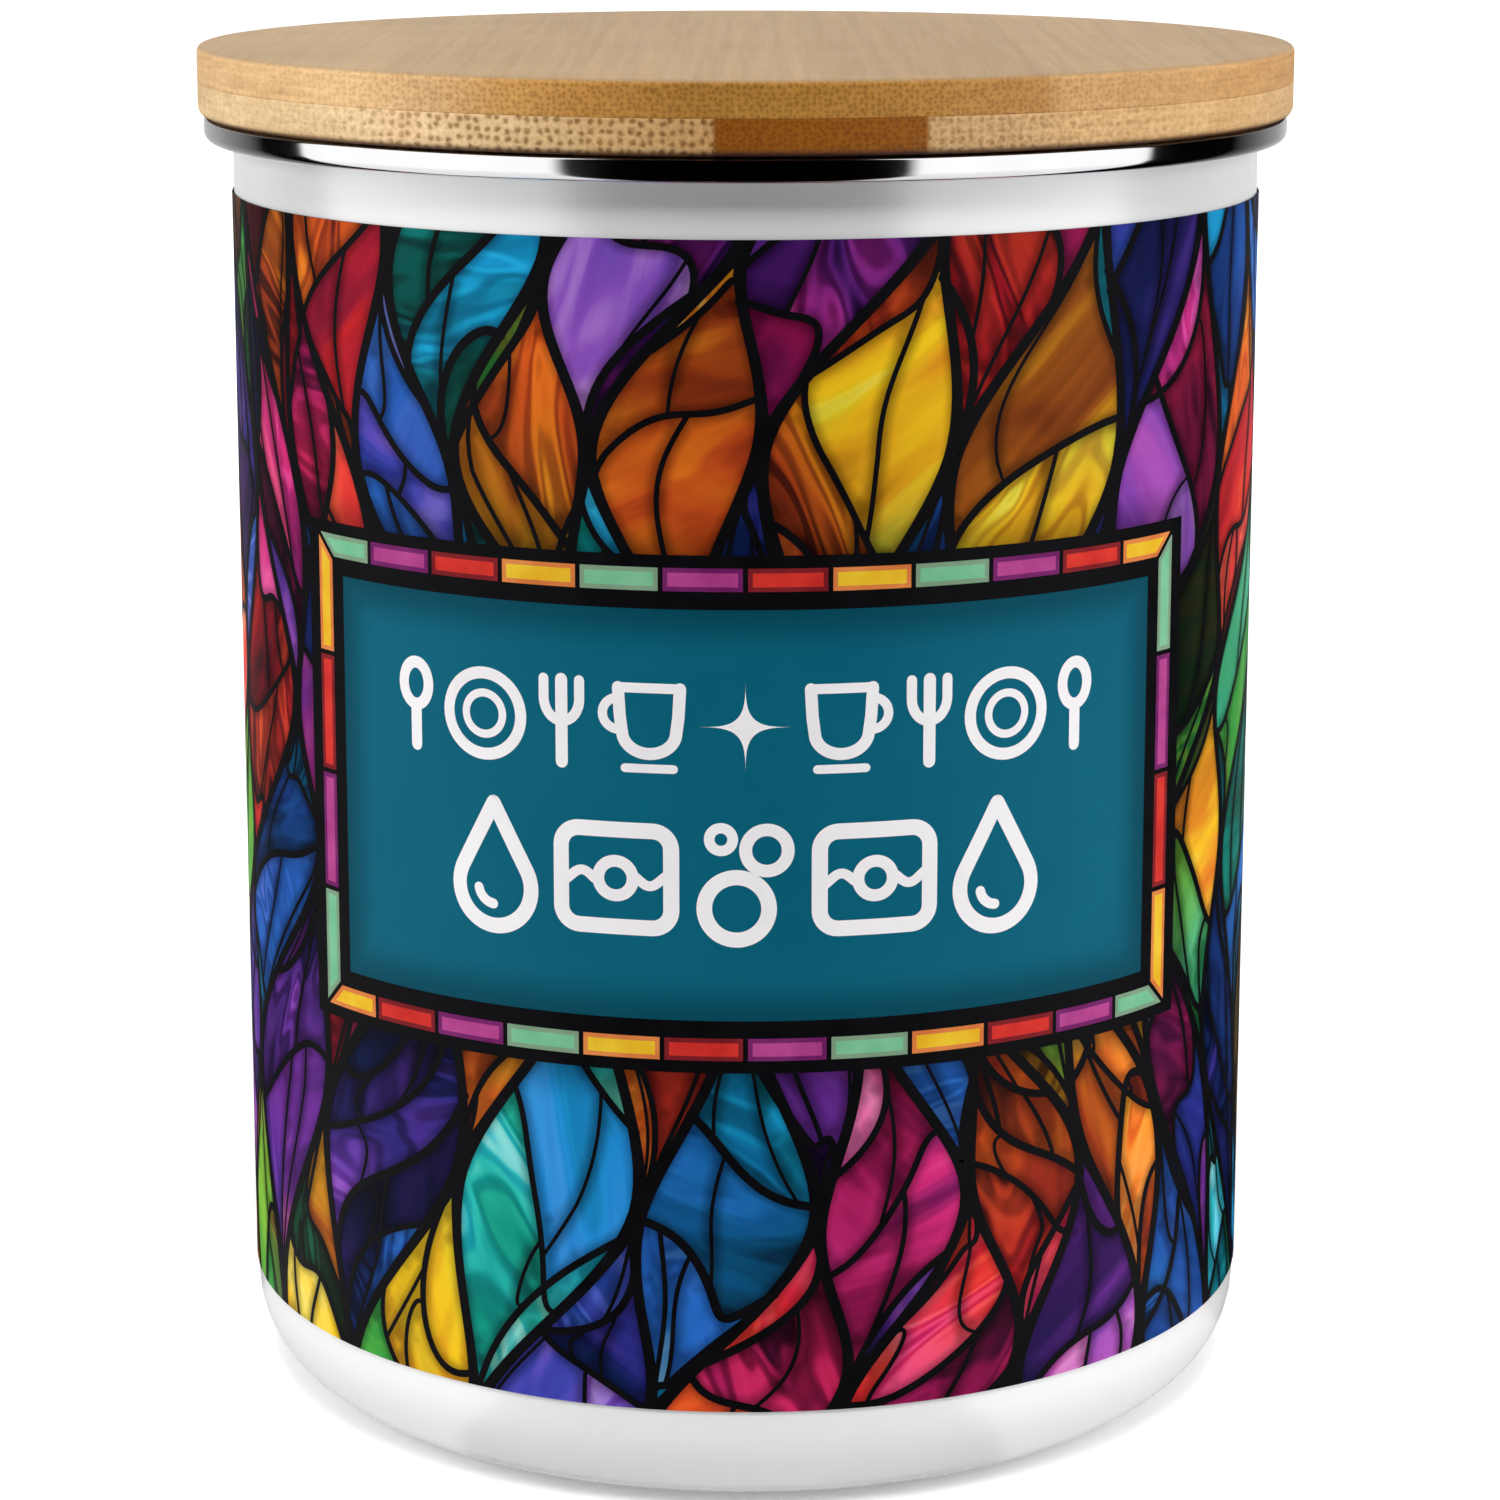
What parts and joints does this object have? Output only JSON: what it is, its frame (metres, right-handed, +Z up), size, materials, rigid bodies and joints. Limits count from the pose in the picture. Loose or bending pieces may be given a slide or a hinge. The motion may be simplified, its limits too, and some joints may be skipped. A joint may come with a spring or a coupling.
{
  "type": "dishwasher tablet tin",
  "caption": "Round enamelled steel kitchen canister with a bright rim ring, a printed stained glass wrap round a framed panel, and a push-in bamboo lid with a silicone seal.",
  "frame": {"origin": "centre of the base, on the plane that the foot ring stands on", "axes": "+Z up along the tin's axis, -Y towards the framed panel, +X to the panel's right as it is read"},
  "size_m": [0.1066, 0.1066, 0.1331],
  "materials": {
    "white_enamel": "glossy vitreous enamel on steel",
    "bright_steel": "polished stainless sheet",
    "bamboo": "laminated bamboo, sanded, matte",
    "silicone": "translucent silicone",
    "print_black": "glossy print",
    "panel_teal": "glossy print",
    "tile_sage": "glossy print",
    "tile_magenta": "glossy print",
    "tile_red": "glossy print",
    "tile_amber": "glossy print",
    "glass_red": "glossy print, marbled like stained glass",
    "glass_orange": "glossy print, marbled like stained glass",
    "glass_yellow": "glossy print, marbled like stained glass",
    "glass_green": "glossy print, marbled like stained glass",
    "glass_teal": "glossy print, marbled like stained glass",
    "glass_cyan": "glossy print, marbled like stained glass",
    "glass_blue": "glossy print, marbled like stained glass",
    "glass_indigo": "glossy print, marbled like stained glass",
    "glass_purple": "glossy print, marbled like stained glass",
    "glass_pink": "glossy print, marbled like stained glass"
  },
  "bodies": {
    "tin": {"enamel_body": "white_enamel", "rim_ring": "bright_steel", "print_ground": "print_black", "panel_field": "panel_teal", "tile_sage": "tile_sage", "tile_magenta": "tile_magenta", "tile_red": "tile_red", "tile_amber": "tile_amber", "glass_red": "glass_red", "glass_orange": "glass_orange", "glass_yellow": "glass_yellow", "glass_green": "glass_green", "glass_teal": "glass_teal", "glass_cyan": "glass_cyan", "glass_blue": "glass_blue", "glass_indigo": "glass_indigo", "glass_purple": "glass_purple", "glass_pink": "glass_pink"},
    "lid": {"bamboo_lid": "bamboo", "seal_ring": "silicone"}
  },
  "joints": [
    {"name": "lid_lift", "type": "slide", "parent": "tin", "child": "lid", "axis": [0, 0, 1], "range_m": [0, 0.06]}
  ]
}
